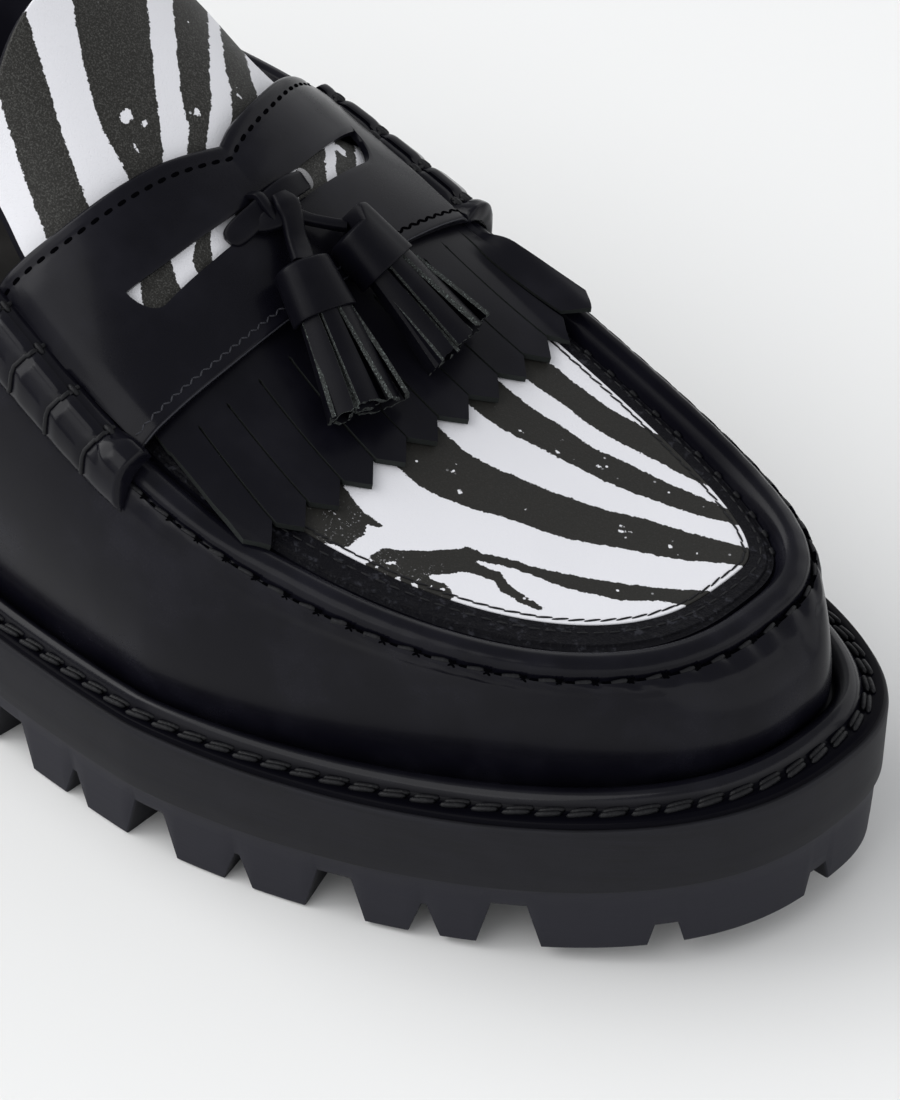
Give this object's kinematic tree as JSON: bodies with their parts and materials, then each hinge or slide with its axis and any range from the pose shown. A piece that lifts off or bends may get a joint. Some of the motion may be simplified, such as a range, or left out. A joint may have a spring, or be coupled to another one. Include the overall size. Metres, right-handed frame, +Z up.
{
  "type": "tassel loafer shoe",
  "caption": "Slip-on leather loafer with a zebra-print apron, slotted saddle strap, cut fringe, tassels and a thick lugged platform sole.",
  "frame": {"origin": "middle of the footprint's bounding rectangle, on the floor under the lugs", "axes": "+X from heel to toe along the sole, +Y towards the inner side of the foot, +Z up"},
  "size_m": [0.296, 0.1129, 0.1179],
  "materials": {
    "sole_rubber": "matte",
    "welt_leather": "polished",
    "insole_leather": "smooth",
    "upper_leather": "polished",
    "strap_leather": "polished",
    "roll_leather": "polished",
    "fringe_leather": "polished",
    "tassel_leather": "satin"
  },
  "bodies": {
    "root": {"outsole": "sole_rubber", "welt": "welt_leather", "insole": "insole_leather", "upper": "upper_leather", "saddle_strap": "strap_leather", "beef_roll_lateral": "roll_leather", "beef_roll_medial": "roll_leather", "kiltie_fringe": "fringe_leather", "tassel_knot": "tassel_leather", "tassel_lateral": "tassel_leather", "tassel_medial": "tassel_leather"}
  },
  "joints": []
}
